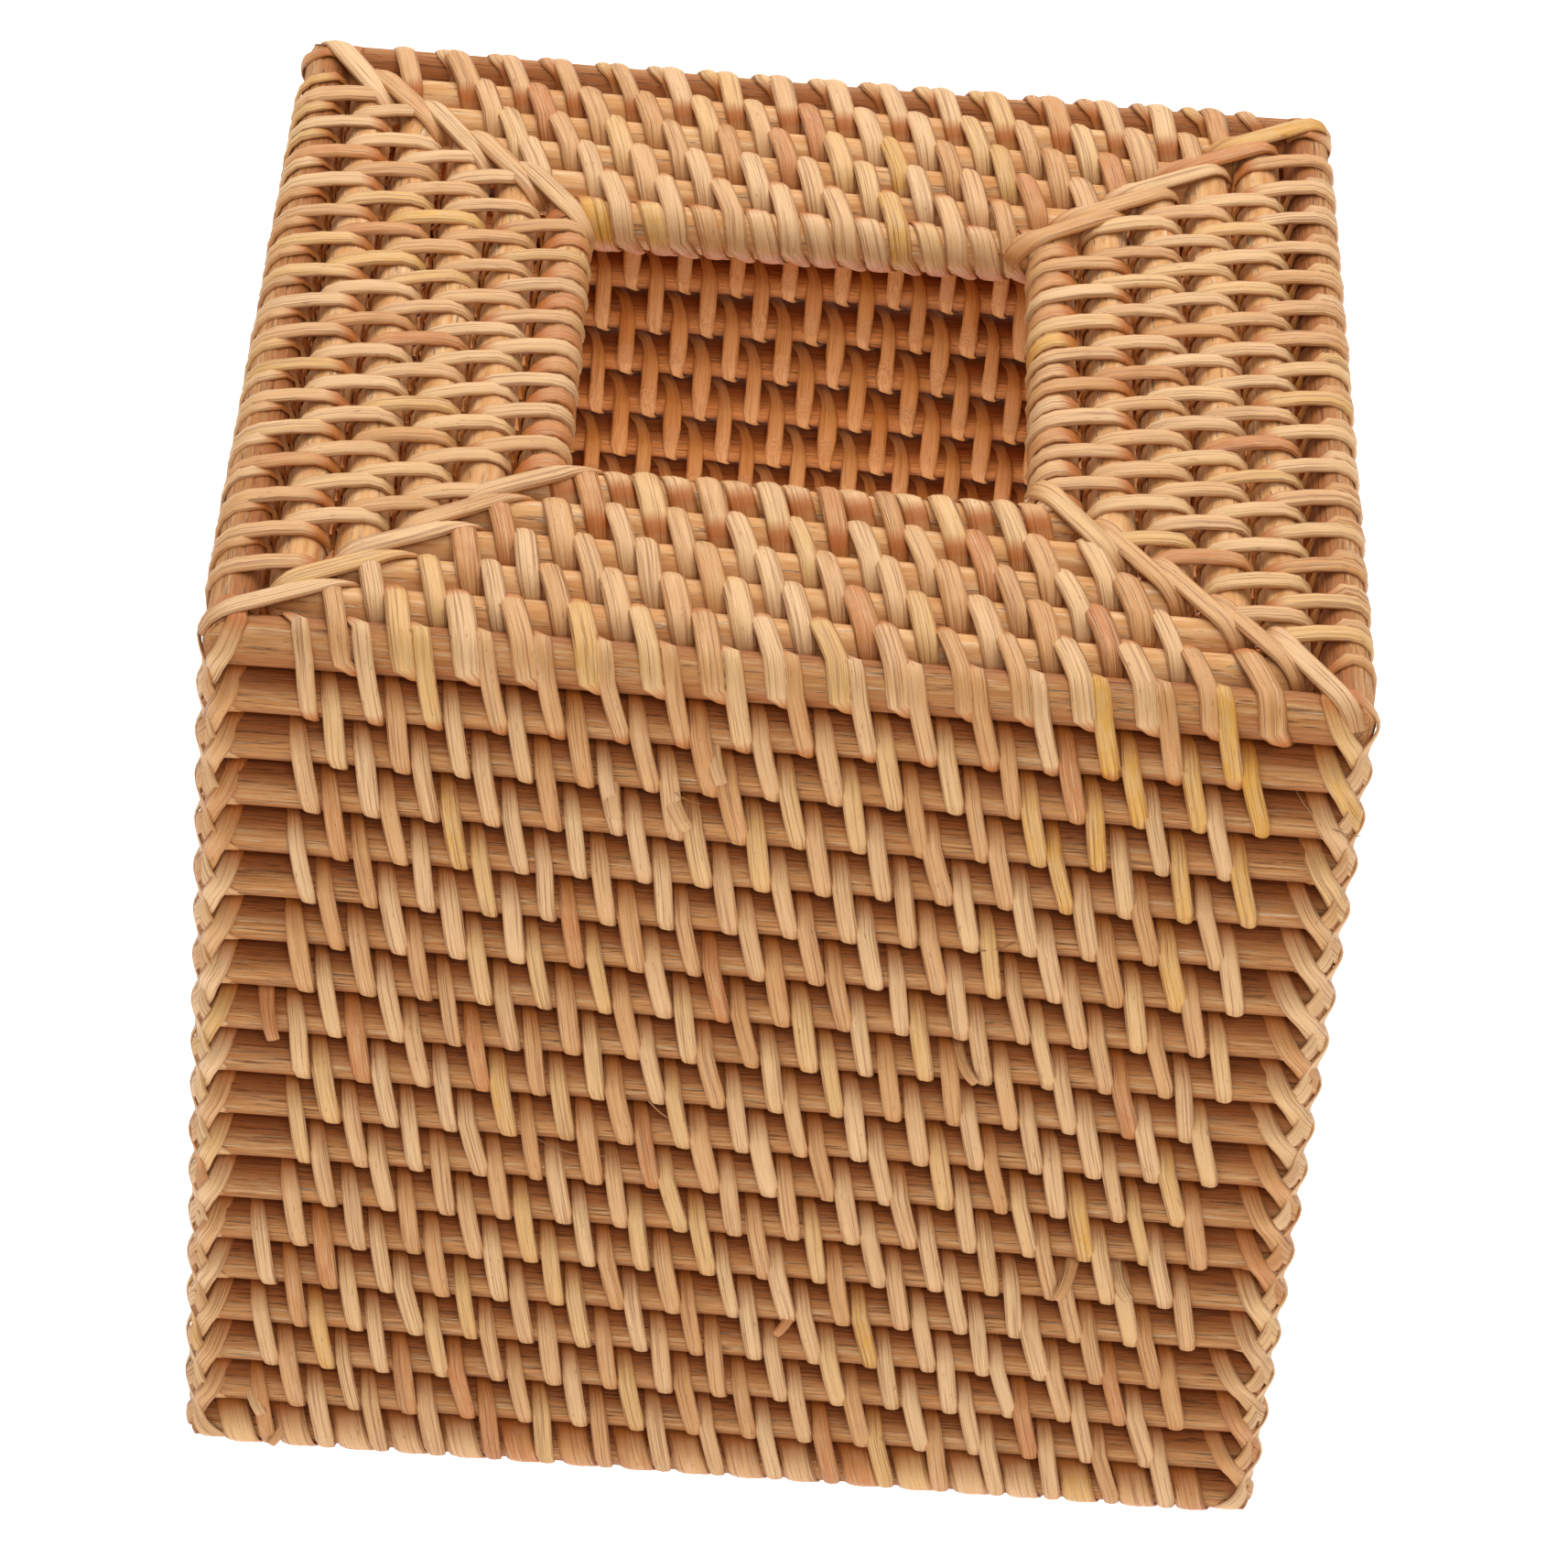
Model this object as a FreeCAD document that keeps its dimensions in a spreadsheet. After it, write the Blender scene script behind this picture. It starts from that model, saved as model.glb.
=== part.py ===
import FreeCAD, Part
import math
import os
import Sketcher

# A square tissue box cover, woven from rattan.
# Round rods are stacked as walls and laid as a top with a square opening. Flat strips of split cane
# are wound round each pair of neighbouring rods, and the corners are lashed with short strips.
# Millimetres. The middle of the footprint is the origin, +Z is up and the front wall faces -Y.

Vector = FreeCAD.Vector
X_AXIS = Vector(1, 0, 0)
Z_AXIS = Vector(0, 0, 1)

doc = FreeCAD.newDocument("tissue_box_cover")
sheet = doc.addObject("Spreadsheet::Sheet", "Sizes")

# Driving sizes, each one written here and nowhere else.
DRIVING = [
    ("rod_diameter", "5.8", "round rattan core of walls and top"),
    ("strip_width", "2.4", "flat split cane, across"),
    ("strip_thickness", "0.45", "flat split cane, through"),
    ("fit_gap", "0.08", "clear space between a strip and what it lies on"),
    ("opening_width", "57", "clear square opening in the top, inside the rim wrap"),
    ("bare_rod_width", "1.25", "rod left bare between two neighbouring turns, on average"),
    ("outside_travel_share", "0.28", "part of a turn's way along the rod that is made outside"),
    ("course_step_share", "0.555", "from one course's turn to the next course's, part of a pitch"),
    ("wall_end_margin", "8", "rod left free of turns at each end of a wall"),
    ("rim_wrap_shift_share", "0.054", "how far a rim turn lies off the middle, part of a pitch"),
    ("top_end_margin", "3.4", "rod left free of turns before a mitre of the top"),
    ("mitre_gap", "0.3", "saw cut between two rods that meet at a corner"),
    ("lashing_reach", "7.5", "how far a corner lashing runs along each wall"),
    ("mitre_strip_length", "16", "length of one strip laid along a mitre of the top"),
    ("mitre_strip_angle", "-15.5", "turn of such a strip away from the mitre, in degrees"),
    ("rest_flat_depth", "0.15", "how deep the lowest turns are pressed flat by the table"),
    ("wall_rod_count", "19", "rods in a wall, with the edge rod and the foot rod"),
    ("top_rod_count", "5", "rods of the top from the opening to the edge rod, without that one"),
]
for row, (alias, text, note) in enumerate(DRIVING, start=1):
    sheet.set("A%d" % row, alias)
    sheet.set("B%d" % row, text)
    sheet.set("C%d" % row, note)
    sheet.setAlias("B%d" % row, alias)
doc.recompute()

# Sizes that follow from the driving ones, in a sheet of their own.
# Between two neighbouring rods pass two strips, one round each rod.
derived = doc.addObject("Spreadsheet::Sheet", "Derived")
FOLLOWING = [
    ("rod_radius", "=Sizes.rod_diameter / 2", "half of a rod"),
    ("strip_rise", "=Sizes.strip_thickness + Sizes.fit_gap", "what a strip adds to a rod"),
    ("rod_pitch", "=2 * rod_radius + 2 * strip_rise + Sizes.fit_gap", "from rod to rod"),
    ("stitch_pitch", "=2 * (Sizes.strip_width + Sizes.bare_rod_width)", "from turn to turn"),
    ("rim_offset", "=Sizes.opening_width / 2 + strip_rise + rod_radius", "middle to rim rod"),
    ("edge_offset", "=rim_offset + Sizes.top_rod_count * rod_pitch", "middle to edge rod"),
    ("foot_level", "=rod_radius + strip_rise - Sizes.rest_flat_depth", "height of the foot rod"),
    ("edge_level", "=foot_level + (Sizes.wall_rod_count - 1) * rod_pitch", "height of the edge rod"),
]
for row, (alias, formula, note) in enumerate(FOLLOWING, start=1):
    derived.set("A%d" % row, alias)
    derived.setAlias("B%d" % row, alias)
    derived.set("C%d" % row, note)
for row, (alias, formula, note) in enumerate(FOLLOWING, start=1):
    derived.set("B%d" % row, formula)
    doc.recompute()

wall_rod_count = int(sheet.get("wall_rod_count"))
top_rod_count = int(sheet.get("top_rod_count"))
fit_gap = sheet.get("fit_gap")
mitre_gap = sheet.get("mitre_gap")
strip_width = sheet.get("strip_width")
strip_thickness = sheet.get("strip_thickness")
rod_radius = derived.get("rod_radius")
rod_pitch = derived.get("rod_pitch")
stitch_pitch = derived.get("stitch_pitch")
rim_offset = derived.get("rim_offset")
edge_offset = derived.get("edge_offset")
edge_level = derived.get("edge_level")
foot_level = derived.get("foot_level")

# A strip lies between these two radii round the middle of a rod.
inner_radius = rod_radius + fit_gap
outer_radius = inner_radius + strip_thickness
# A strip slants a little outside and more inside, and reaches the next turn with both together.
# On the rod that two courses share, the turns of one lie between the turns of the other.
outside_travel = stitch_pitch * sheet.get("outside_travel_share")
course_step = stitch_pitch * sheet.get("course_step_share")
rim_wrap_shift = stitch_pitch * sheet.get("rim_wrap_shift_share")


def ring_offset(ring):
    """Distance of a ring of the top from the middle. Ring 0 is the rim of the opening."""
    return rim_offset + ring * rod_pitch


def wall_level(course):
    """Height of a rod of the walls. Rod 1 is the edge rod, the last one is the foot rod."""
    return edge_level - (course - 1) * rod_pitch


# Rods. Every level is a square of four straight rods that are sawn off at 45 degrees where they meet:
# a round section carried round a square, then parted by a thin saw cut along both diagonals.
def origin_feature(body, role):
    return next(feature for feature in body.Origin.OriginFeatures if feature.Role == role)


def flat_sketch(body, name, plane_role):
    sketch = body.newObject("Sketcher::SketchObject", name)
    sketch.AttachmentSupport = (origin_feature(body, plane_role), [""])
    sketch.MapMode = "FlatFace"
    return sketch


def add_outline(sketch, corners):
    """A closed outline of straight lines, joined end to end."""
    count = len(corners)
    for index in range(count):
        following = corners[(index + 1) % count]
        sketch.addGeometry(Part.LineSegment(corners[index], following), False)
    for index in range(count):
        sketch.addConstraint(Sketcher.Constraint("Coincident", index, 2, (index + 1) % count, 1))


def bind(sketch, constraint, expression):
    index = sketch.addConstraint(constraint)
    sketch.setExpression("Constraints[%d]" % index, expression)


def rod_square(label, half, offset, level):
    """Four mitred rods of one level, as one body of four solids.

    half is the distance of the rods from the middle, and offset and level are what it follows.
    """
    body = doc.addObject("PartDesign::Body", label)
    body.Label = label
    body.AllowCompound = True

    path = flat_sketch(body, label + "_path", "XY_Plane")
    add_outline(path, [
        Vector(half, 0, 0),
        Vector(half, half, 0),
        Vector(-half, half, 0),
        Vector(-half, -half, 0),
        Vector(half, -half, 0),
    ])
    for line, kind in enumerate(["Vertical", "Horizontal", "Vertical", "Horizontal", "Vertical"]):
        path.addConstraint(Sketcher.Constraint(kind, line))
    path.addConstraint(Sketcher.Constraint("Symmetric", 0, 2, 2, 2, -1, 1))
    path.addConstraint(Sketcher.Constraint("PointOnObject", 0, 1, -1))
    bind(path, Sketcher.Constraint("DistanceX", -1, 1, 0, 1, half), offset)
    bind(path, Sketcher.Constraint("DistanceY", -1, 1, 0, 2, half), offset)

    section = flat_sketch(body, label + "_section", "XZ_Plane")
    section.addGeometry(Part.Circle(Vector(half, 0, 0), Z_AXIS, rod_radius), False)
    section.addConstraint(Sketcher.Constraint("PointOnObject", 0, 3, -1))
    bind(section, Sketcher.Constraint("DistanceX", -1, 1, 0, 3, half), offset)
    bind(section, Sketcher.Constraint("Radius", 0, rod_radius), "Derived.rod_radius")

    pipe = body.newObject("PartDesign::AdditivePipe", label + "_round")
    pipe.Profile = section
    pipe.Spine = (path, [])
    pipe.Transition = "Right corner"

    saw = flat_sketch(body, label + "_saw", "XY_Plane")
    saw.AttachmentOffset = FreeCAD.Placement(Vector(0, 0, 0), FreeCAD.Rotation(Z_AXIS, 45))
    reach = 2 * half
    kerf = mitre_gap / 2
    add_outline(saw, [
        Vector(-reach, -kerf, 0),
        Vector(reach, -kerf, 0),
        Vector(reach, kerf, 0),
        Vector(-reach, kerf, 0),
    ])
    for line, kind in enumerate(["Horizontal", "Vertical", "Horizontal", "Vertical"]):
        saw.addConstraint(Sketcher.Constraint(kind, line))
    saw.addConstraint(Sketcher.Constraint("Symmetric", 0, 1, 1, 2, -1, 1))
    bind(saw, Sketcher.Constraint("DistanceX", 0, 1, 0, 2, 2 * reach), "4 * (%s)" % offset)
    bind(saw, Sketcher.Constraint("DistanceY", 1, 1, 1, 2, 2 * kerf), "Sizes.mitre_gap")

    cut = body.newObject("PartDesign::Pocket", label + "_mitre")
    cut.Profile = saw
    cut.Type = "ThroughAll"
    cut.SideType = "Symmetric"

    mitres = body.newObject("PartDesign::PolarPattern", label + "_mitres")
    mitres.Originals = [cut]
    mitres.Axis = (origin_feature(body, "Z_Axis"), [""])
    mitres.Mode = "Spacing"
    mitres.Offset = 90
    mitres.Occurrences = 2
    body.Tip = mitres
    body.setExpression("Placement.Base.z", level)
    return body


# Strips. A pair of rods lies along X, the first rod above the second one, with the outside towards -Y.
def half_turn(position, height, under, width=strip_width):
    """Half a turn round one rod, from its outer side under (or over) it to its inner side."""
    half = width / 2
    end = Part.Face(Part.makePolygon([
        Vector(position - half, -outer_radius, height),
        Vector(position + half, -outer_radius, height),
        Vector(position + half, -inner_radius, height),
        Vector(position - half, -inner_radius, height),
        Vector(position - half, -outer_radius, height),
    ]))
    return end.revolve(Vector(0, 0, height), X_AXIS, 180 if under else -180)


def straight_run(start, start_height, end, end_height, depth):
    """A straight, slanting run of strip between the middles of two rods."""
    half = strip_width / 2
    side = Part.Face(Part.makePolygon([
        Vector(start - half, depth, start_height),
        Vector(start + half, depth, start_height),
        Vector(end + half, depth, end_height),
        Vector(end - half, depth, end_height),
        Vector(start - half, depth, start_height),
    ]))
    return side.extrude(Vector(0, strip_thickness, 0))


def one_solid(pieces):
    joined = pieces[0].multiFuse(pieces[1:])
    if len(joined.Solids) != 1:
        raise ValueError("a strip fell into %d pieces" % len(joined.Solids))
    return joined.Solids[0]


def stitch_starts(half_length, course):
    """Where the turns of a course start on its first rod. Courses count from the opening."""
    phase = course * (outside_travel + course_step) % stitch_pitch
    room = half_length - strip_width / 2
    first = math.ceil((-room - phase) / stitch_pitch)
    last = math.floor((room - outside_travel - phase) / stitch_pitch)
    return [index * stitch_pitch + phase for index in range(first, last + 1)]


def stitch(start):
    """One turn as seen from outside: over the first rod, down both and under the second."""
    top = rod_pitch / 2
    return [
        half_turn(start, top, False),
        straight_run(start, top, start + outside_travel, -top, -outer_radius),
        half_turn(start + outside_travel, -top, True),
    ]


windings_by_count = {}


def winding(starts):
    """One unbroken strip wound round two rods from end to end."""
    top = rod_pitch / 2
    count = len(starts)
    if count not in windings_by_count:
        pieces = []
        for index in range(count):
            pieces += stitch(index * stitch_pitch)
        for index in range(1, count):
            pieces.append(straight_run(
                (index - 1) * stitch_pitch + outside_travel, -top,
                index * stitch_pitch, top, inner_radius))
        windings_by_count[count] = one_solid(pieces)
    wound = windings_by_count[count].copy()
    wound.translate(Vector(starts[0], 0, 0))
    return wound


def rim_winding(starts, height, under):
    """One strip wound round the last rod only, between the turns of the last course.

    It hugs the free side of the rod between two turns and crosses to the next place in the gap.
    """
    half = strip_width / 2
    reach = 2 * outer_radius
    travel = reach * stitch_pitch / (inner_radius + outer_radius)
    rise = Vector(0, 0, reach if under else -reach)
    pieces = [half_turn(start, height, under) for start in starts]
    for start in starts[:-1]:
        middle = start + stitch_pitch / 2
        band = Part.Face(Part.makePolygon([
            Vector(middle + travel - half, -reach, height),
            Vector(middle + travel + half, -reach, height),
            Vector(middle - travel + half, reach, height),
            Vector(middle - travel - half, reach, height),
            Vector(middle + travel - half, -reach, height),
        ]))
        sleeve = half_turn(middle, height, not under, 2 * stitch_pitch)
        pieces += sleeve.common(band.extrude(rise)).Solids
    return one_solid(pieces)


def on_four_sides(solids, offset):
    """The strips of one side, moved out to it and repeated on the other three."""
    copies = []
    for quarter in range(4):
        for solid in solids:
            copy = solid.copy()
            copy.translate(Vector(0, -offset, 0))
            copy.rotate(Vector(0, 0, 0), Z_AXIS, 90 * quarter)
            copies.append(copy)
    return Part.makeCompound(copies)


def strip_part(label, shape, height):
    part = doc.addObject("Part::Feature", label)
    part.Label = label
    part.Shape = shape
    part.Placement = FreeCAD.Placement(Vector(0, 0, height), FreeCAD.Rotation())
    return part


def laid_flat(solid):
    """The same winding on the top instead of a wall: outside up, first rod nearer the opening."""
    turned = solid.copy()
    turned.rotate(Vector(0, 0, 0), X_AXIS, -90)
    return turned


def pressed_flat(solid, depth):
    """What is left above the table, which lies that far below the strip's own middle."""
    box = solid.BoundBox
    slab = Part.makeBox(
        box.XLength + 2 * rod_pitch, box.YLength + 2 * rod_pitch, rod_pitch,
        Vector(box.XMin - rod_pitch, box.YMin - rod_pitch, -depth - rod_pitch))
    return solid.cut(slab).Solids[0]


parts = []

# The walls, from the edge rod down to the foot rod.
for course in range(1, wall_rod_count + 1):
    if course == 1:
        label = "edge_rods"
    elif course == wall_rod_count:
        label = "foot_rods"
    else:
        label = "wall_rods_%02d" % course
    level = "Derived.edge_level - %d * Derived.rod_pitch" % (course - 1)
    parts.append(rod_square(label, edge_offset, "Derived.edge_offset", level))

# The top, from the rim of the opening outwards. Its outermost neighbour is the edge rod.
for ring in range(top_rod_count):
    label = "opening_rim_rods" if ring == 0 else "top_rods_%d" % ring
    offset = "Derived.rim_offset + %d * Derived.rod_pitch" % ring
    parts.append(rod_square(label, ring_offset(ring), offset, "Derived.edge_level"))

# Windings of the top, from the opening outwards. The last one takes in the edge rod.
for ring in range(top_rod_count):
    starts = stitch_starts(ring_offset(ring) - sheet.get("top_end_margin"), ring)
    flat = laid_flat(winding(starts))
    middle = ring_offset(ring) + rod_pitch / 2
    parts.append(strip_part("top_binding_%d" % (ring + 1), on_four_sides([flat], middle), edge_level))
    if ring == 0:
        # The rim rod is wrapped once more, between the turns of this course.
        between = [start + stitch_pitch / 2 - rim_wrap_shift for start in starts[:-1]]
        rim_wrap = laid_flat(rim_winding(between, 0, False))
        rim_wraps = on_four_sides([rim_wrap], rim_offset)
        parts.append(strip_part("opening_rim_wrap", rim_wraps, edge_level))

# Windings of the walls, downwards. Course 1 shares the edge rod with the top, whose strip passes
# inside it, so its turns are separate stitches that are tucked in behind the edge rod.
wall_room = edge_offset + rod_radius - sheet.get("wall_end_margin")
for course in range(1, wall_rod_count):
    starts = stitch_starts(wall_room, top_rod_count + course - 1)
    middle = wall_level(course) - rod_pitch / 2
    if course == 1:
        stitches = [one_solid(stitch(start)) for start in starts]
        parts.append(strip_part("edge_binding", on_four_sides(stitches, edge_offset), middle))
    elif course < wall_rod_count - 1:
        shape = on_four_sides([winding(starts)], edge_offset)
        parts.append(strip_part("wall_binding_%02d" % course, shape, middle))
    else:
        shape = on_four_sides([pressed_flat(winding(starts), middle)], edge_offset)
        parts.append(strip_part("foot_binding", shape, middle))
        # The foot rod is wrapped once more, between the turns of this course.
        between = [
            start + outside_travel + stitch_pitch / 2 + rim_wrap_shift for start in starts[:-1]]
        foot_wrap = pressed_flat(rim_winding(between, 0, True), foot_level)
        parts.append(strip_part("foot_wrap", on_four_sides([foot_wrap], edge_offset), foot_level))

# Corner lashings. At every rod two strips cross over the corner of two walls: the lower one falls
# towards one wall, the upper one towards the other. A strip is a slanting slice of a thin angle.
corner = edge_offset + rod_radius
lashing_reach = sheet.get("lashing_reach")
lashing_slope = rod_pitch / lashing_reach
lashing_height = strip_width * math.sqrt(1 + lashing_slope ** 2)


def corner_strips(layer, slope):
    """The strips of one layer at the front left corner, with the slope they have on the front."""
    inside = corner + fit_gap + layer * (strip_thickness + fit_gap)
    outside = inside + strip_thickness
    end = corner - lashing_reach
    angle = Part.Face(Part.makePolygon([
        Vector(-outside, -outside, 0),
        Vector(-end, -outside, 0),
        Vector(-end, -inside, 0),
        Vector(-inside, -inside, 0),
        Vector(-inside, -end, 0),
        Vector(-outside, -end, 0),
        Vector(-outside, -outside, 0),
    ])).extrude(Vector(0, 0, edge_level))
    near = -outside - rod_pitch
    far = -end + rod_pitch
    span = slope * (far - near)
    strips = []
    for course in range(2, wall_rod_count):
        low = wall_level(course) - lashing_height / 2
        slice_face = Part.Face(Part.makePolygon([
            Vector(near, near, low),
            Vector(far, near, low + span),
            Vector(far, far, low),
            Vector(near, far, low - span),
            Vector(near, near, low),
        ]))
        strips += angle.common(slice_face.extrude(Vector(0, 0, lashing_height))).Solids
    return strips


def at_corner(solids, quarter):
    """The strips of the front left corner, carried on by so many quarter turns."""
    copies = [solid.copy() for solid in solids]
    for copy in copies:
        copy.rotate(Vector(0, 0, 0), Z_AXIS, 90 * quarter)
    return Part.makeCompound(copies)


CORNERS = ["front_left", "front_right", "back_right", "back_left"]
lashing = corner_strips(0, -lashing_slope) + corner_strips(1, lashing_slope)
for quarter, name in enumerate(CORNERS):
    parts.append(strip_part("corner_lashing_" + name, at_corner(lashing, quarter), 0))

# Mitre lashings. Along each mitre of the top lie strips, one for each pair of rods, turned a little
# so that each one's end lies beside the next one's start.
mitre_strip_length = sheet.get("mitre_strip_length")
mitre_strip_angle = sheet.get("mitre_strip_angle")
mitre_strips = []
for ring in range(top_rod_count):
    along = (ring_offset(ring) + rod_pitch / 2) * math.sqrt(2)
    strip = Part.makeBox(
        mitre_strip_length, strip_width, strip_thickness,
        Vector(-mitre_strip_length / 2, -strip_width / 2, 0))
    strip.rotate(Vector(0, 0, 0), Z_AXIS, mitre_strip_angle)
    strip.translate(Vector(-along, 0, rod_radius + fit_gap))
    strip.rotate(Vector(0, 0, 0), Z_AXIS, 45)
    mitre_strips.append(strip)
for quarter, name in enumerate(CORNERS):
    parts.append(strip_part("mitre_lashing_" + name, at_corner(mitre_strips, quarter), edge_level))

doc.recompute()
for item in doc.Objects:
    if "Invalid" in item.State or "Error" in item.State:
        raise ValueError("%s did not build: %s" % (item.Label, item.State))
os.makedirs("parts", exist_ok=True)
for part in parts:
    if part.Shape.isNull() or not part.Shape.isValid():
        raise ValueError("%s has no sound shape" % part.Label)
    part.Shape.exportStep("parts/%s.step" % part.Label)
    print(part.Label, len(part.Shape.Solids), "solids")
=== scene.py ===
import math
import random

import bpy
import numpy as np
from mathutils import Matrix, Vector


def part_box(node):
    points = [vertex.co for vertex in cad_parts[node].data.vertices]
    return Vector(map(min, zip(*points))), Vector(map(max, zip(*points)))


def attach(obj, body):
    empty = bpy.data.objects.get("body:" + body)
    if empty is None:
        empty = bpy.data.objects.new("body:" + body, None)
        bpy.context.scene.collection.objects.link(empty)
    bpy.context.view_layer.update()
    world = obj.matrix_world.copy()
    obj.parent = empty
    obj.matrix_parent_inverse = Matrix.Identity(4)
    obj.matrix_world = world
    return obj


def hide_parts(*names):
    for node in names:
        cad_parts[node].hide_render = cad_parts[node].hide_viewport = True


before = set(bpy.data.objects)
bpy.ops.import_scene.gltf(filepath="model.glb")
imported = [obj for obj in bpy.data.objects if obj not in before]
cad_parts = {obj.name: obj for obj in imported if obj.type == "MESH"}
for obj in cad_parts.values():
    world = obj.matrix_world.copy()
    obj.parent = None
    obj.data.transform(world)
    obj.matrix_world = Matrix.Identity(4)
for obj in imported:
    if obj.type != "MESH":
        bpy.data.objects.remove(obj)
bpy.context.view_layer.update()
MM = 0.001

# Rods. Peeled rattan core of the thickness of a pencil, four to each level of the walls and to
# each square of the top. Each is cut to a mitre and rounded off there, a little uneven and fibrous.
ROD_SIDES = 20
ROD_CUTS = 30
CORNER_ROUND = 3.0 * MM
CORNER_CUTS = (math.pi / 8, math.pi / 4)
ROD_FULLNESS = 1.05
ROD_SWELL_SHARE = 0.022
ROD_LOBES = 7
ROD_BOW = 0.12 * MM
GRAIN_APART = 5000
SMOOTH_ANGLE = math.radians(40)
QUARTERS = [Matrix.Rotation(math.pi / 2 * turn, 4, "Z") for turn in range(4)]


class Wire:
    """A socket in a material's node tree. Sums of sockets add Math nodes."""

    def __init__(self, tree, socket=None):
        self.tree = tree
        self.socket = socket

    def node(self, kind, settings, sockets, output=0):
        """A new node with its settings and then its sockets set, as the wire of one output."""
        made = self.tree.nodes.new(kind)
        for name, value in settings.items():
            if name == "stops":
                stops = made.color_ramp.elements
                while len(stops) < len(value):
                    stops.new(0.5)
                for stop, (place, colour) in zip(stops, value):
                    stop.position = place
                    stop.color = colour
            else:
                setattr(made, name, value)
        for name, value in sockets.items():
            if isinstance(value, Wire):
                self.tree.links.new(value.socket, made.inputs[name])
            else:
                made.inputs[name].default_value = value
        return Wire(self.tree, made.outputs[output])

    def sum(self, operation, first, second=0.0):
        return self.node("ShaderNodeMath", {"operation": operation}, {0: first, 1: second})

    def __add__(self, other):
        return self.sum("ADD", self, other)

    def __radd__(self, other):
        return self.sum("ADD", other, self)

    def __sub__(self, other):
        return self.sum("SUBTRACT", self, other)

    def __rsub__(self, other):
        return self.sum("SUBTRACT", other, self)

    def __mul__(self, other):
        return self.sum("MULTIPLY", self, other)

    def __rmul__(self, other):
        return self.sum("MULTIPLY", other, self)

    def ramp(self, low, high):
        """0 up to low, 1 from high on, and a straight line between them."""
        return self.node(
            "ShaderNodeMapRange", {"clamp": True},
            {"Value": self, "From Min": low, "From Max": high})

    def colours(self, *stops):
        return self.node("ShaderNodeValToRGB", {"stops": stops}, {"Fac": self})

    def blend(self, first, second):
        """The first colour where this is 0 and the second where it is 1."""
        return self.node(
            "ShaderNodeMix", {"data_type": "RGBA"}, {"Factor": self, 6: first, 7: second}, 2)


def paint(red, green, blue):
    """A colour given as it looks on a screen, for a socket."""
    linear = [
        share / 12.92 if share <= 0.04045 else ((share + 0.055) / 1.055) ** 2.4
        for share in (red / 255, green / 255, blue / 255)]
    return (*linear, 1.0)


def new_finish(name, attribute):
    """A new material, its shader node and the named attribute's three numbers as wires."""
    finish = bpy.data.materials.new(name)
    finish.use_nodes = True
    tree = finish.node_tree
    shader = tree.nodes["Principled BSDF"]
    start = Wire(tree)
    vector = start.node("ShaderNodeAttribute", {"attribute_name": attribute}, {}, "Vector")
    numbers = [
        start.node("ShaderNodeSeparateXYZ", {}, {"Vector": vector}, axis) for axis in "XYZ"]
    return finish, shader, numbers


def streaks(along, across, other, along_scale, across_scale, detail=4.0):
    """Noise drawn out along the grain: a wire from 0 to 1."""
    place = along.node(
        "ShaderNodeCombineXYZ", {},
        {"X": along * along_scale, "Y": across * across_scale, "Z": other})
    return along.node(
        "ShaderNodeTexNoise", {"noise_dimensions": "3D"},
        {"Vector": place, "Scale": 1.0, "Detail": detail, "Roughness": 0.6}, "Fac")


def finish_surface(shader, colour, roughness, height, depth):
    """Connects a material's colour, roughness and bump to its shader."""
    links = colour.tree.links
    links.new(colour.socket, shader.inputs["Base Color"])
    links.new(roughness.socket, shader.inputs["Roughness"])
    bump = colour.node(
        "ShaderNodeBump", {}, {"Height": height, "Strength": 1.0, "Distance": depth})
    links.new(bump.socket, shader.inputs["Normal"])


def rod_finish(name, *stops):
    """Rattan core: dull tan with long coarse fibres, with painted shade where it faces the next rod
    and more orange on the inside."""
    finish, shader, (along, side, rise) = new_finish(name, "grain")
    fibres = streaks(along, side * 2.4, rise * 2.4, 0.09, 1.0, 6.0)
    bands = streaks(along, side * 0.5, rise * 0.5, 0.03, 1.0, 2.0)
    splits = streaks(along, side * 4.4, rise * 4.4, 0.14, 1.0, 3.0).ramp(0.60, 0.68)
    threads = streaks(along, side * 4.2, rise * 4.2, 0.14, 1.0, 2.0).ramp(0.57, 0.70)
    tone = fibres.ramp(0.30, 0.70).colours(*stops)
    warm = (bands.ramp(0.45, 0.75) * 0.4).blend(tone, paint(190, 120, 58))
    dark = (splits * 0.55).blend(warm, paint(104, 58, 24))
    pale = (threads * 0.5).blend(dark, paint(236, 206, 164))
    # More orange on the inside of the cover.
    inside = side.ramp(-0.5, -2.0)
    inner_orange = (inside * 0.6).blend(pale, paint(202, 122, 38))
    # Painted shade: the rod darkens to a deep orange-brown where it faces the next rods, in the
    # grooves between them.
    groove_painted_shade = rise.sum("ABSOLUTE", rise).ramp(0.5, 2.4)
    colour = (groove_painted_shade * 0.85).blend(inner_orange, paint(142, 70, 14))
    roughness = 0.62 + fibres * 0.2
    finish_surface(shader, colour, roughness, fibres + threads * 0.3 - splits * 0.6, 0.3 * MM)
    shader.inputs["Specular IOR Level"].default_value = 0.3
    return finish


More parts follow.
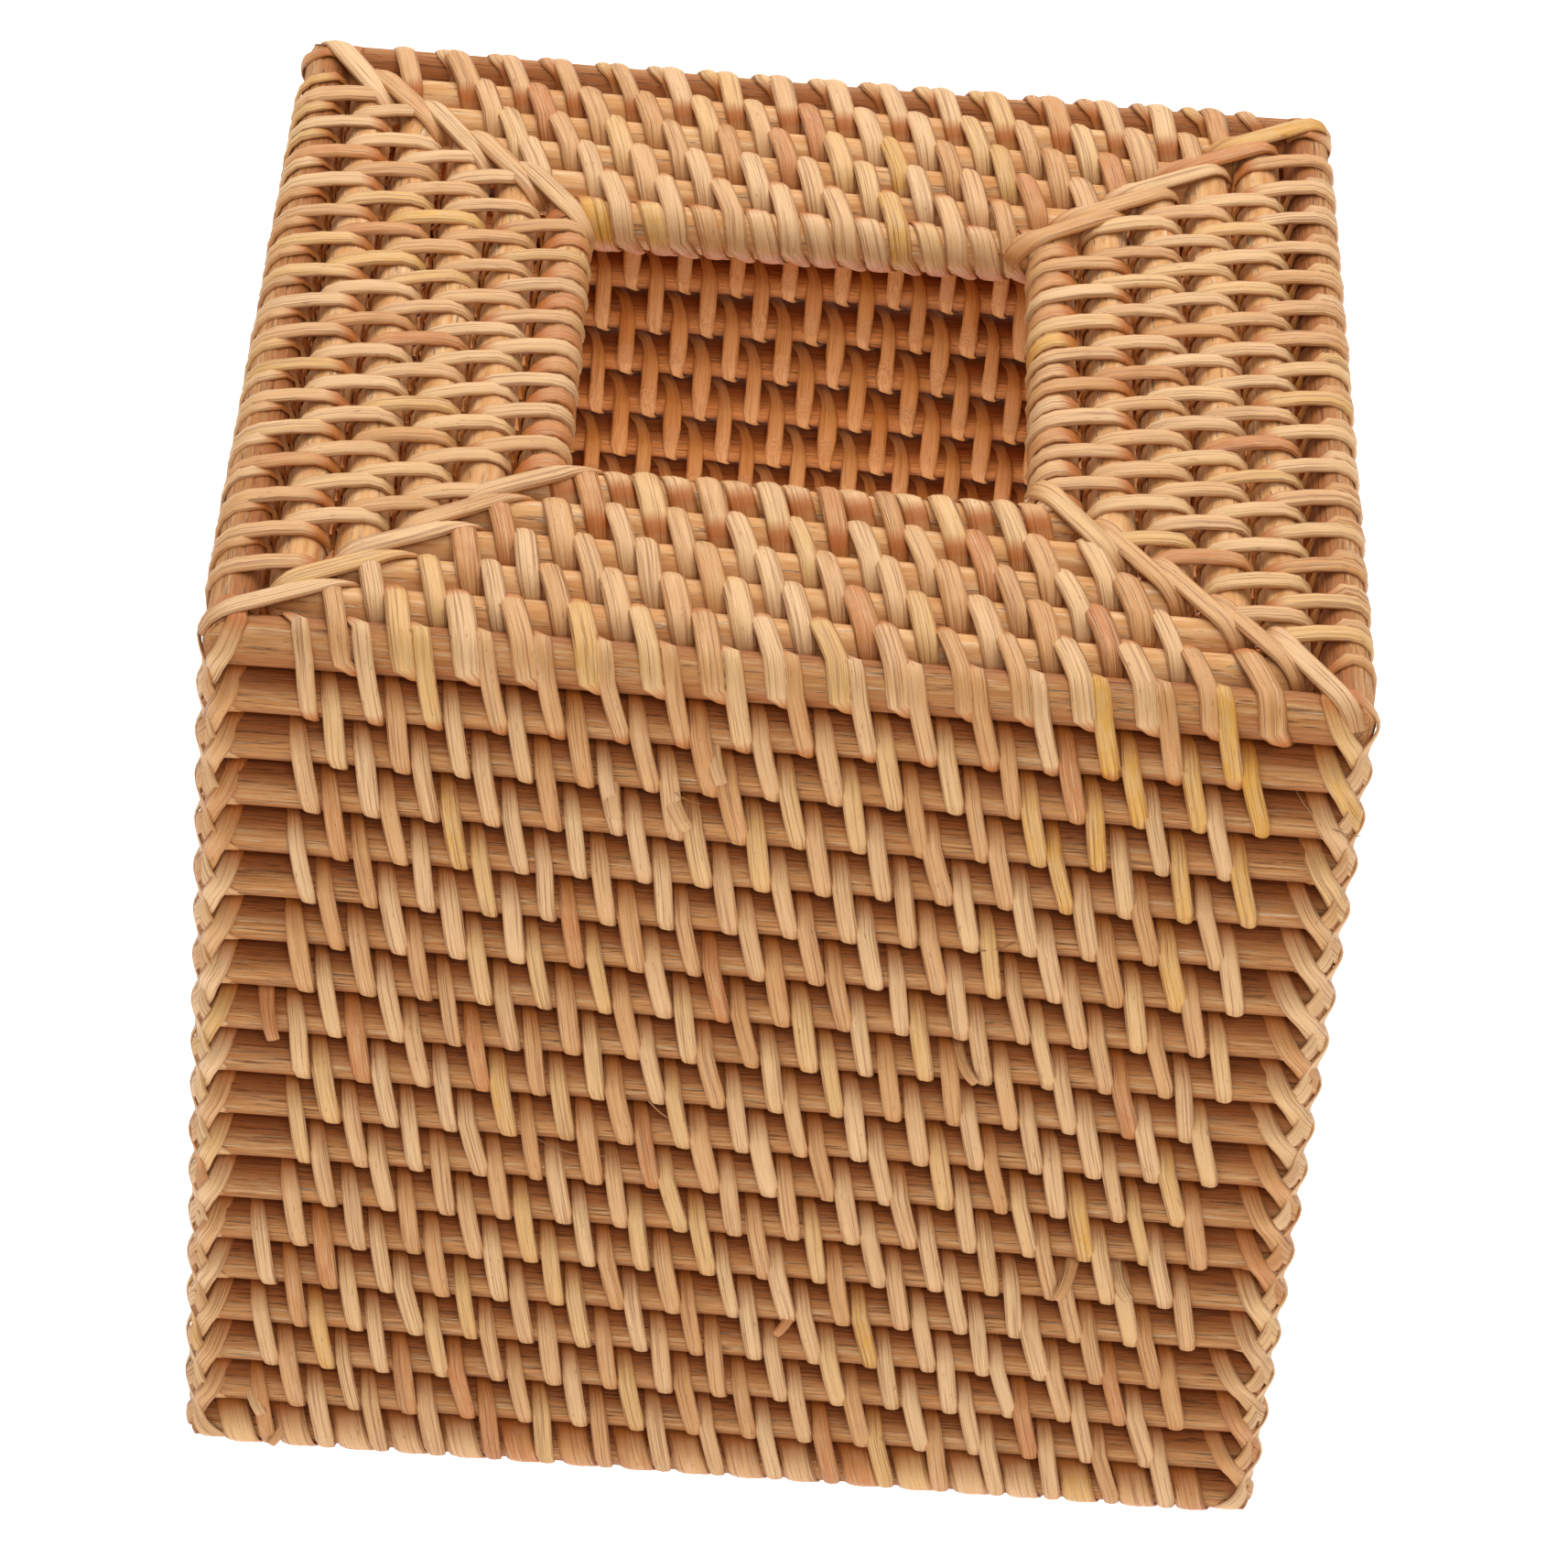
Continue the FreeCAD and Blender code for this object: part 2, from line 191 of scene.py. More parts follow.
def model_rod(half, radius):
    """A rod along X with its outer side towards -Y, mitred and rounded off at both ends."""
    bpy.ops.object.select_all(action="DESELECT")
    bpy.ops.mesh.primitive_cylinder_add(
        vertices=ROD_SIDES, radius=radius, depth=2 * (half + 2 * radius),
        rotation=(0, math.pi / 2, 0))
    bpy.ops.object.transform_apply(location=False, rotation=True, scale=False)
    rod = bpy.context.object
    bpy.ops.object.mode_set(mode="EDIT")
    bpy.ops.mesh.select_mode(type="EDGE")
    bpy.ops.mesh.select_all(action="DESELECT")
    bpy.ops.object.mode_set(mode="OBJECT")
    corners = rod.data.vertices
    for edge in rod.data.edges:
        start, end = (corners[index].co.x for index in edge.vertices)
        edge.select = abs(end - start) > half
    bpy.ops.object.mode_set(mode="EDIT")
    bpy.ops.mesh.subdivide(number_cuts=ROD_CUTS)
    for end in (-1, 1):
        cuts = [((end * half, 0, 0), (end, 1, 0))]
        middle = radius - CORNER_ROUND
        for angle in CORNER_CUTS:
            way = Vector((end * math.sin(angle), -math.cos(angle), 0))
            cuts.append((
                Vector((end * (half + middle), -middle, 0)) + CORNER_ROUND * way, way))
        for place, way in cuts:
            bpy.ops.mesh.select_all(action="SELECT")
            bpy.ops.mesh.bisect(plane_co=place, plane_no=way, use_fill=True, clear_outer=True)
    bpy.ops.object.mode_set(mode="OBJECT")
    return rod


def weather_rod(rod, way_out, chance):
    """Makes a copied rod a little uneven and writes down its grain: how far along the rod,
    how far out of the weave and how far across it, towards the next rods. A short way out
    makes the last two small, and the rod then gets little painted shade in its grooves."""
    count = len(rod.data.vertices)
    places = np.empty(3 * count)
    rod.data.vertices.foreach_get("co", places)
    places = places.reshape(-1, 3)
    along = places[:, 0] / MM
    turn = np.arctan2(places[:, 2], places[:, 1])
    swell = np.ones(count)
    for lobes in range(1, ROD_LOBES + 1):
        wander = chance.uniform(0.02, 0.09) * along + chance.uniform(0, 2 * math.pi)
        swell += (
            ROD_SWELL_SHARE * chance.uniform(0.2, 1.0) / lobes ** 0.5
            * np.sin(lobes * turn + 1.5 * np.sin(wander)) * np.cos(0.7 * wander))
    grain = np.column_stack([
        along + chance.uniform(0, GRAIN_APART), places[:, 1:] @ np.array(way_out) / MM,
        places[:, 1:] @ np.array((-way_out[1], way_out[0])) / MM])
    places[:, 1:] *= np.minimum(swell, 1.0 + ROD_SWELL_SHARE)[:, None]
    for axis in (1, 2):
        bow = chance.uniform(0.02, 0.06) * along + chance.uniform(0, 2 * math.pi)
        places[:, axis] += ROD_BOW * np.sin(bow)
    rod.data.vertices.foreach_set("co", places.ravel())
    rod.data.attributes.new("grain", "FLOAT_VECTOR", "POINT").data.foreach_set(
        "vector", grain.ravel())


def join_pieces(name, pieces):
    """One named object from several, with its place in its mesh."""
    bpy.ops.object.select_all(action="DESELECT")
    for piece in pieces:
        piece.select_set(True)
    bpy.context.view_layer.objects.active = pieces[0]
    if len(pieces) > 1:
        bpy.ops.object.join()
    joined = bpy.context.object
    joined.name = name
    joined.data.name = name
    return joined


def hand_over(piece, finish, slot, *nodes):
    """Gives a finished piece its material and its body, and hides the CAD nodes that it stands for.
    """
    piece.data.materials.clear()
    piece.data.materials.append(finish)
    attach(piece, "root")
    if nodes:
        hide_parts(*nodes)


wall_core = rod_finish(
    "wall_core",
    (0.0, paint(160, 100, 46)), (0.5, paint(185, 128, 74)), (1.0, paint(208, 162, 112)))
# The top's rods get a paler copy of the wall rods' finish: painted light, for the light from above
# that reaches down between the top's strips.
top_core_painted_paler = rod_finish(
    "top_core_painted_paler",
    (0.0, paint(188, 126, 64)), (0.5, paint(210, 155, 98)), (1.0, paint(229, 186, 136)))
wall_nodes = ["edge_rods"] + ["wall_rods_%02d" % course for course in range(2, 19)] + ["foot_rods"]
top_nodes = ["opening_rim_rods"] + ["top_rods_%d" % ring for ring in range(1, 5)] + ["edge_rods"]
axes = {}
models = {}
for number, node in enumerate(wall_nodes + top_nodes[:-1]):
    low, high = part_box(node)
    radius = (high.z - low.z) / 2
    half = high.x - radius
    axes[node] = (half, (high.z + low.z) / 2)
    full_radius = ROD_FULLNESS * radius
    key = round(half / MM, 2)
    if key not in models:
        models[key] = model_rod(half, full_radius)
    # The top's rods take the paler painted-light copy of the finish, and a short way out that keeps
    # painted groove shade off them.
    core, way_out = (top_core_painted_paler, (0, 0.3)) if node in top_nodes else (wall_core, (-1, 0))
    # The edge rod shows both its front and its top, so its way out points between the two and its
    # painted groove shade is lightest at the corner between them.
    if node == "edge_rods":
        core, way_out = wall_core, (-0.5, 0.5)
    rods = []
    for quarter, turned in enumerate(QUARTERS):
        rod = models[key].copy()
        rod.data = models[key].data.copy()
        bpy.context.scene.collection.objects.link(rod)
        weather_rod(rod, way_out, random.Random(10 * number + quarter))
        rod.data.transform(turned @ Matrix.Translation((0, -half, axes[node][1])))
        rods.append(rod)
    square = join_pieces(node + "_peeled", rods)
    bpy.ops.object.shade_smooth_by_angle(angle=SMOOTH_ANGLE)
    hand_over(square, core, "rattan_core", node)
for model in models.values():
    bpy.data.objects.remove(model)

# Wall bindings. Flat strips of split cane, each wound in one length round two neighbouring rods
# and on along them, so that every rod carries the stitches of two courses side by side.
STRIP_WIDTH = 2.3 * MM
STRIP_THICKNESS = 0.62 * MM
STRIP_SECTION_SHARES = [
    (-0.46, -0.92), (-0.04, -1.0), (0.34, -0.62), (0.52, 0.0), (0.34, 0.62), (-0.04, 1.0),
    (-0.46, 0.92)]
STRIP_SEAT = 0.04 * MM
STITCH_PITCH = 7.3 * MM
FRONT_TRAVEL = 1.45 * MM
TRAVEL_GROWTH = 5.0 / (1000 * MM)
TURN_TRAVEL = 2.95 * MM
TURN_HIDDEN_SHARE = 0.7
TURN_EASE = 2.5
COURSE_STEP = 3.7 * MM
EDGE_STEP = 0.9 * MM
WALL_END_MARGIN = 9.0 * MM
STITCH_SLIP = 0.18 * MM
STITCH_LEAN = 0.132 * MM
STITCH_LIFT = 0.16 * MM
STITCH_BOW = 0.22 * MM
STITCH_TOP_SHARES = (1.0, 0.97, 0.85, 0.66, 0.64, 0.78, 0.90)
STITCH_FOOT_SHARES = (1.0, 0.88, 0.58, 0.42, 0.50, 0.70, 0.90)
STITCH_EDGE_SHARES = (1.0, 1.0, 1.0, 0.97, 0.80, 0.60, 0.80)
STITCH_WIDTH_SPREAD = 0.07
LEAST_SHADE = 0.03
GOLDEN_SHARE = 0.55
GOLDEN_SHADE = 0.04
GOLDEN_COURSES = 4
FRONT, LEFT = 0, 3
STRIPS_APART = 613.7
TURN_STEPS = 6
rod_pitch = axes["edge_rods"][1] - axes["wall_rods_02"][1]
strip_reach = full_radius + STRIP_SEAT + STRIP_THICKNESS / 2


def strip_section(name, width, thickness):
    """The cut end of a strip: flat below and crowned above."""
    outline = bpy.data.curves.new(name, "CURVE")
    spline = outline.splines.new("POLY")
    spline.points.add(len(STRIP_SECTION_SHARES) - 1)
    for point, (rise, side) in zip(spline.points, STRIP_SECTION_SHARES):
        point.co = (rise * thickness, side * width / 2, 0, 1)
    spline.use_cyclic_u = True
    section = bpy.data.objects.new(name, outline)
    bpy.context.scene.collection.objects.link(section)
    return section


def unit(rows):
    return rows / np.linalg.norm(rows, axis=1, keepdims=True)


def lay_strips(name, runs, section):
    """Bends strips along runs and joins them in one piece.
    A run is a frame that carries it into place, the way out of the weave in that frame, and
    rows of place, facing, width share and shade. With a longer way out less of the strip
    counts as tucked away, and less of it takes the painted shade of the cane's finish."""
    bpy.ops.object.select_all(action="DESELECT")
    bpy.ops.curve.primitive_nurbs_path_add()
    path = bpy.context.object.data
    path.splines.clear()
    path.dimensions = "3D"
    path.twist_mode = "Z_UP"
    path.bevel_mode = "OBJECT"
    path.bevel_object = section
    lays = []
    tucks = []
    across = np.array([side for rise, side in STRIP_SECTION_SHARES])
    for number, (carried, outward, rows) in enumerate(runs):
        places, facings = rows[:, 0:3], rows[:, 3:6]
        steps = np.diff(places, axis=0)
        ways = unit(steps)
        ways = unit(np.vstack([ways[:1], ways[:-1] + ways[1:], ways[-1:]]))
        right = unit(np.cross(ways, [0.0, 0.0, 1.0]))
        up = np.cross(right, ways)
        tilts = np.arctan2(-np.sum(facings * up, axis=1), np.sum(facings * right, axis=1))
        spline = path.splines.new("POLY")
        spline.points.add(len(rows) - 1)
        spline.points.foreach_set("co", np.column_stack([places, np.ones(len(rows))]).ravel())
        spline.points.foreach_set("tilt", tilts)
        spline.points.foreach_set("radius", rows[:, 6])
        along = np.concatenate([[0.0], np.cumsum(np.linalg.norm(steps, axis=1))]) / MM
        lay = np.empty((len(rows), len(across), 3))
        lay[:, :, 0] = along[:, None] + STRIPS_APART * number
        lay[:, :, 1] = across[None, :]
        lay[:, :, 2] = rows[:, 7:8]
        lays.append(lay.reshape(-1, 3))
        tucks.append(np.repeat(1 - facings @ np.array(outward), len(across)))
    bpy.ops.object.convert(target="MESH")
    piece = bpy.context.object
    count = len(piece.data.vertices)
    places = np.empty(3 * count)
    piece.data.vertices.foreach_get("co", places)
    places = places.reshape(-1, 3)
    start = 0
    for (carried, outward, rows), lay in zip(runs, lays):
        end = start + len(lay)
        spin = np.array(carried.to_3x3())
        places[start:end] = places[start:end] @ spin.T + np.array(carried.translation)
        start = end
    places[:, 2] = np.maximum(places[:, 2], 0.0)
    piece.data.vertices.foreach_set("co", places.ravel())
    piece.data.attributes.new("lay", "FLOAT_VECTOR", "POINT").data.foreach_set(
        "vector", np.vstack(lays).ravel())
    piece.data.attributes.new("tuck", "FLOAT", "POINT").data.foreach_set(
        "value", np.concatenate(tucks))
    bpy.ops.object.mode_set(mode="EDIT")
    bpy.ops.mesh.select_all(action="SELECT")
    bpy.ops.mesh.fill_holes(sides=0)
    bpy.ops.object.mode_set(mode="OBJECT")
    bpy.ops.object.shade_smooth()
    piece.name = name
    piece.data.name = name
    return piece


def wind(
        starts, spread, chance, top_shares=STITCH_TOP_SHARES, foot_shares=STITCH_FOOT_SHARES,
        golden_from=1.0):
    """Rows of one winding round two rods. Rod axes lie along Z at Y = 0 and Y = spread,
    the outside is +X, and starts are the places where the strip crosses the first rod.
    The shares say how far the strip draws in, step by step round the first and second rod.
    Beyond golden_from most stitches have the yellowest shade."""
    rows = []
    turn_angles = [math.pi * step / TURN_STEPS for step in range(1, TURN_STEPS)]
    shown = 1 - TURN_HIDDEN_SHARE
    turn_shares = [
        2 * share * shown if share < 0.5 else 1 - TURN_HIDDEN_SHARE * (2 - 2 * share) ** TURN_EASE
        for share in (step / TURN_STEPS for step in range(TURN_STEPS + 1))]
    for start in starts:
        slip = chance.gauss(0, STITCH_SLIP)
        lean = chance.gauss(0, STITCH_LEAN)
        lift = chance.uniform(0, 1) * STITCH_LIFT
        width = chance.gauss(1.0, STITCH_WIDTH_SPREAD)
        shade = chance.uniform(LEAST_SHADE, 1)
        if start > golden_from and chance.uniform(0, 1) < GOLDEN_SHARE:
            shade *= GOLDEN_SHADE
        top = start + slip - lean
        foot = start + FRONT_TRAVEL * (1 + TRAVEL_GROWTH * start) + slip + lean

        def row(angle, middle, place, reach=strip_reach, tip=1.0):
            out, down = math.cos(angle), math.sin(angle)
            rows.append((
                reach * out, middle + reach * down, place, out, down, 0.0, tip * width, shade))

        inner = start - TURN_TRAVEL
        row(math.pi, spread / 2, inner)
        row(math.pi, 0.0, inner)
        for step in range(TURN_STEPS - 1, 0, -1):
            row(-turn_angles[step - 1], 0.0, top + turn_shares[step] * (inner - top),
                tip=top_shares[step])
        row(0.0, 0.0, top, strip_reach + lift)
        row(0.0, spread / 2, (top + foot) / 2, strip_reach + lift + STITCH_BOW)
        row(0.0, spread, foot, strip_reach + lift)
        inner = start + FRONT_TRAVEL + TURN_TRAVEL
        for step in range(1, TURN_STEPS):
            row(turn_angles[step - 1], spread, foot + turn_shares[step] * (inner - foot),
                tip=foot_shares[step])
        row(math.pi, spread, inner)
    return np.array(rows)


def course_starts(shift, room):
    """Where the stitches of a course begin along rods that leave so much room each way."""
    first = -room + (shift + room) % STITCH_PITCH
    count = int((room - FRONT_TRAVEL - first) / STITCH_PITCH) + 1
    return [first + STITCH_PITCH * stitch for stitch in range(count)]


def cane_finish(name, stops, edge_colour):
    """Split cane: smooth honey skin with fine lines along it, each stitch of its own shade,
    with painted shade where it is tucked away between the rods, and more orange on the inside."""
    finish, shader, (along, across, shade) = new_finish(name, "lay")
    tuck = along.node("ShaderNodeAttribute", {"attribute_name": "tuck"}, {}, "Fac")
    lines = streaks(along, across, shade * 37.0, 0.05, 5.5, 2.0)
    fine = streaks(along, across, shade * 91.0, 0.16, 11.0, 2.0)
    mottle = streaks(along, across, shade * 13.0, 0.30, 0.8, 3.0)
    flecks = streaks(along, across, shade * 59.0, 0.55, 3.0, 1.0).ramp(0.70, 0.76)
    tone = (shade + (mottle - 0.5) * 0.2).colours(*stops)
    edge = across.sum("ABSOLUTE", across).ramp(0.70, 1.0)
    rimmed = (edge * 0.5).blend(tone, edge_colour)
    grooved = (lines.ramp(0.52, 0.64) * 0.62).blend(rimmed, paint(132, 74, 28))
    threaded = (fine.ramp(0.52, 0.72) * 0.4).blend(grooved, paint(238, 208, 168))
    flecked = (flecks * 0.45).blend(threaded, paint(132, 78, 38))
    inside = (tuck.ramp(1.2, 1.8) * 0.6).blend(flecked, paint(212, 136, 44))
    # Painted shade: the strip darkens to a deep orange-brown where it turns away from the outside
    # into the grooves, but not on the inside of the cover.
    tucked_painted_shade = tuck.ramp(0.0, 0.62) * 0.82 - tuck.ramp(1.05, 1.7) * 0.82
    colour = tucked_painted_shade.blend(inside, paint(180, 96, 24))
    roughness = 0.40 + mottle * 0.2
    height = lines * -1.0 + fine * 0.4
    finish_surface(shader, colour, roughness, height, 0.22 * MM)
    shader.inputs["Specular IOR Level"].default_value = 0.4
    return finish


strip = strip_section("strip_section", STRIP_WIDTH, STRIP_THICKNESS)
binding_cane = cane_finish("binding_cane", [
    (0.0, paint(214, 154, 54)), (0.05, paint(214, 164, 94)), (0.3, paint(223, 178, 126)),
    (0.7, paint(212, 160, 104)), (0.92, paint(202, 143, 82)), (1.0, paint(194, 122, 62))],
    paint(180, 106, 46))

# A winding's own frame has the rods along Z and the outside along X; this stands it on the front.
# Where a winding goes over the edge rod or the rim rod, two sides of that rod are outside.
ON_FRONT = Matrix(((0, 0, 1, 0), (-1, 0, 0, 0), (0, -1, 0, 0), (0, 0, 0, 1)))
wall_half, edge_level = axes["edge_rods"]
wall_room = wall_half + radius - WALL_END_MARGIN
wall_bindings = (
    ["edge_binding"] + ["wall_binding_%02d" % course for course in range(2, 18)]
    + ["foot_binding"])
for course, node in enumerate(wall_bindings):
    upper_half, upper_level = axes[wall_nodes[course]]
    runs = []
    for quarter, turned in enumerate(QUARTERS):
        chance = random.Random(1000 + 10 * course + quarter)
        carried = turned @ Matrix.Translation((0, -upper_half, upper_level)) @ ON_FRONT
        starts = course_starts(EDGE_STEP + course * COURSE_STEP, wall_room)
        golden_from = wall_half / 2 if quarter == FRONT and course < GOLDEN_COURSES else wall_half
        if course:
            rows = wind(starts, rod_pitch, chance, golden_from=golden_from)
            runs.append((carried, (1, 0, 0), rows))
        else:
            rows = wind(
                starts, rod_pitch, chance, top_shares=STITCH_EDGE_SHARES, golden_from=golden_from)
            runs.append((carried, (1, -1, 0), rows))
    hand_over(lay_strips(node + "_wound", runs, strip), binding_cane, "binding_cane", node)

# Top bindings. The same winding, of a wider and rounder strip, lies flat round the square of rods,
# from the opening's rim out to the edge rod, and ends where its rods meet those of the next side.
TOP_END_MARGIN = 1.0 * MM
TOP_STRIP_WIDTH = 3.0 * MM
TOP_STRIP_THICKNESS = 0.75 * MM
# A longer way out, so that less of the top's strips gets the painted shade.
TOP_OUTWARD = (2.2, 0, 0)
FLAT = Matrix.Rotation(-math.pi / 2, 4, "X")
top_strip = strip_section("top_strip_section", TOP_STRIP_WIDTH, TOP_STRIP_THICKNESS)
top_bindings = ["top_binding_%d" % ring for ring in range(1, 6)]
for ring, node in enumerate(top_bindings):
    inner_half, level = axes[top_nodes[ring]]
    spread = axes[top_nodes[ring + 1]][0] - inner_half
    runs = []
    for quarter, turned in enumerate(QUARTERS):
        chance = random.Random(2000 + 10 * ring + quarter)
        carried = turned @ Matrix.Translation((0, -inner_half, level)) @ FLAT @ ON_FRONT
        shift = (ring - len(top_bindings)) * COURSE_STEP
        starts = course_starts(shift, inner_half - TOP_END_MARGIN)
        if ring == 0:
            rows = wind(
                starts, spread, chance, top_shares=STITCH_EDGE_SHARES,
                foot_shares=STITCH_TOP_SHARES)
            runs.append((carried, (1, -1, 0), rows))
        elif ring < len(top_bindings) - 1:
            rows = wind(starts, spread, chance, foot_shares=STITCH_TOP_SHARES)
            runs.append((carried, TOP_OUTWARD, rows))
        else:
            rows = wind(starts, spread, chance, foot_shares=STITCH_EDGE_SHARES)
            runs.append((carried, (1, 1, 0), rows))
    hand_over(lay_strips(node + "_wound", runs, top_strip), binding_cane, "binding_cane", node)

# Rim and foot wraps. Between the stitches of the first and of the last course the strip goes
# once more round the rim or the foot rod alone, so that little of these rods is left bare.
WRAP_THICKNESS = 0.5 * MM
RIM_WRAP_WIDTH = 3.3 * MM
FOOT_WRAP_WIDTH = 4.1 * MM
WRAP_STEPS = 14
WRAP_WIDTH_SPREAD = 0.05
RIM_TURN = (math.radians(-190), math.radians(140))
FOOT_TURN = (math.radians(-115), math.radians(170))
# Painted light: on the left side the rim's wraps take only the most orange shades, for the warm
# light that falls there from inside the cover.
LEFT_RIM_PAINTED_LIGHT_SHADE = 0.93
wrap_reach = full_radius + STRIP_SEAT + WRAP_THICKNESS / 2


def wrap_turns(carried, outward, crossings, middle, turn, chance, low_shade=0.0):
    """Runs of single turns round one rod, from the first angle of the turn to the last,
    each crossing the rod's outside at one of the places."""
    runs = []
    for crossing in crossings:
        slip = chance.gauss(0, STITCH_SLIP)
        width = chance.gauss(1.0, WRAP_WIDTH_SPREAD)
        shade = chance.uniform(low_shade, 1)
        rows = []
        for angle in np.linspace(*turn, WRAP_STEPS):
            out, down = math.cos(angle), math.sin(angle)
            rows.append((
                wrap_reach * out, middle + wrap_reach * down,
                crossing + slip + TURN_TRAVEL * angle / math.pi, out, down, 0.0, width, shade))
        runs.append((carried, outward, np.array(rows)))
    return runs


rim_half, rim_level = axes["opening_rim_rods"]
rim_section = strip_section("rim_section", RIM_WRAP_WIDTH, WRAP_THICKNESS)
foot_section = strip_section("foot_section", FOOT_WRAP_WIDTH, WRAP_THICKNESS)
rim_runs = []
foot_runs = []
last_half, last_level = axes[wall_nodes[-2]]
last_course = len(wall_bindings) - 1
for quarter, turned in enumerate(QUARTERS):
    starts = course_starts(-len(top_bindings) * COURSE_STEP, rim_half - TOP_END_MARGIN)
    # The left quarter's wraps get the painted orange light.
    rim_runs += wrap_turns(
        turned @ Matrix.Translation((0, -rim_half, rim_level)) @ FLAT @ ON_FRONT,
        (1, -1, 0),
        [starts[0] - STITCH_PITCH / 2] + [start + STITCH_PITCH / 2 for start in starts], 0.0,
        RIM_TURN, random.Random(3000 + quarter),
        LEFT_RIM_PAINTED_LIGHT_SHADE if quarter == LEFT else 0.0)
    starts = course_starts(EDGE_STEP + last_course * COURSE_STEP, wall_room)
    foot_runs += wrap_turns(
        turned @ Matrix.Translation((0, -last_half, last_level)) @ ON_FRONT,
        (1, 0, 0),
        [starts[0] + FRONT_TRAVEL - STITCH_PITCH / 2]
        + [start + FRONT_TRAVEL + STITCH_PITCH / 2 for start in starts], rod_pitch,
        FOOT_TURN, random.Random(3100 + quarter))
hand_over(
    lay_strips("opening_rim_wrap_wound", rim_runs, rim_section),
    binding_cane, "binding_cane", "opening_rim_wrap")
hand_over(
    lay_strips("foot_wrap_wound", foot_runs, foot_section),
    binding_cane, "binding_cane", "foot_wrap")

# Mitre lashings. Strips that bind the rods of two sides of the top together: each one starts under
# a rod of one side, crosses the mitre askew and goes under a rod of the other.
CORNERS = ["front_left", "front_right", "back_right", "back_left"]
MITRE_ANGLE = math.radians(33)
MITRE_STEPS = 18
MITRE_RISES = (0.48 * MM, 0.12 * MM)
MITRE_BEGIN_SHARE = 0.25
MITRE_BEGIN_WIDTH = 0.7
MITRE_TUCK = 3.3 * MM
HUG_LIMIT = 0.96
lashing_cane = cane_finish("lashing_cane", [
    (0.0, paint(214, 154, 54)), (0.05, paint(214, 164, 94)), (0.3, paint(223, 178, 126)),
    (0.7, paint(212, 160, 102)), (0.92, paint(202, 142, 80)), (1.0, paint(194, 122, 60))],
    paint(180, 106, 46))


def dip(beyond):
    """How far a strip that hugs a rod has sunk, so far beyond the rod's axis."""
    beyond = min(max(beyond, 0.0), HUG_LIMIT * strip_reach)
    return strip_reach - math.sqrt(strip_reach ** 2 - beyond ** 2), beyond / strip_reach


def mitre_run(ring, chance):
    """The rows of one mitre strip at the front left, from the left side's gap to the front's."""
    inner_half = axes[top_nodes[ring]][0]
    outer_half = axes[top_nodes[ring + 1]][0]
    middle = (inner_half + outer_half) / 2
    angle = MITRE_ANGLE + chance.gauss(0, 0.03)
    slope = math.tan(angle)
    start = -(outer_half - middle + MITRE_TUCK)
    end = (middle - inner_half + MITRE_TUCK) / slope
    width = chance.gauss(1.05, 0.05)
    shade = chance.uniform(0, 1)
    rows = []
    for share in np.linspace(0, 1, MITRE_STEPS):
        reach = start + share * (end - start)
        x, y = -middle + reach, -middle + slope * reach
        outer_dip, outer_lean = dip(-outer_half - x)
        inner_dip, inner_lean = dip(y + inner_half)
        begun = min(share / MITRE_BEGIN_SHARE, 1.0)
        lift = begun * (MITRE_RISES[0] + share * (MITRE_RISES[1] - MITRE_RISES[0]))
        level = edge_level + strip_reach + lift - outer_dip - inner_dip
        facing = Vector((-outer_lean, inner_lean, 1.0)).normalized()
        tip = MITRE_BEGIN_WIDTH + (1 - MITRE_BEGIN_WIDTH) * begun
        rows.append((x, y, level, *facing, tip * width, shade))
    return np.array(rows)


for quarter, name in enumerate(CORNERS):
    chance = random.Random(4000 + quarter)
    runs = [
        (QUARTERS[quarter], (0, 0, 1), mitre_run(ring, chance))
        for ring in range(len(top_bindings))]
    hand_over(
        lay_strips("mitre_lashing_%s_laid" % name, runs, top_strip),
        lashing_cane, "lashing_cane", "mitre_lashing_" + name)

# Corner lashings. Two sets of strips cross each other at every upright corner and go round it.
# Each starts steeply from a gap between two rods of one wall and lies over the other set there,
# and then flattens out under it along a rod of the other wall.
LASHING_WIDTH = 2.6 * MM
LASHING_THICKNESS = 0.45 * MM
LASHING_UNDER = -0.14 * MM
LASHING_OVER = 0.32 * MM
LASHING_SINK = 1.6 * MM
LASHING_SAG = 0.85 * MM
LASHING_STEPS = 12
LASHING_SETTLE = 1.2 * MM
LASHING_TUCKS = [math.radians(angle) for angle in (140, 115, 92)]
LASHING_TUCK_WIDTH = 0.8
LASHING_END_SHARE = 0.7
LASHING_END_WIDTH = 0.3
LASHING_EASE = 1.5
FALLING_REACHES = (-5.6 * MM, 5.8 * MM)
FALLING_UPPER_SHARE = 0.62
RISING_REACHES = (3.5 * MM, -5.4 * MM)
RISING_UPPER_SHARE = 0.58
wall_skin = wall_half + full_radius


def round_corner(reach, out):
    """A place so far along the skin from the front left corner's middle and so far out of it,
    and the way out there. Reach is positive along the front and negative along the left."""
    quarter_arc = CORNER_ROUND * math.pi / 4
    angle = min(max(reach / quarter_arc, -1.0), 1.0) * math.pi / 4
    beyond = max(abs(reach) - quarter_arc, 0.0)
    way = Vector((-math.cos(math.pi / 4 + angle), -math.sin(math.pi / 4 + angle), 0.0))
    middle = Vector((CORNER_ROUND - wall_skin, CORNER_ROUND - wall_skin, 0.0))
    place = middle + way * (CORNER_ROUND + out)
    if reach > 0:
        place.x += beyond
    else:
        place.y += beyond
    return place, way


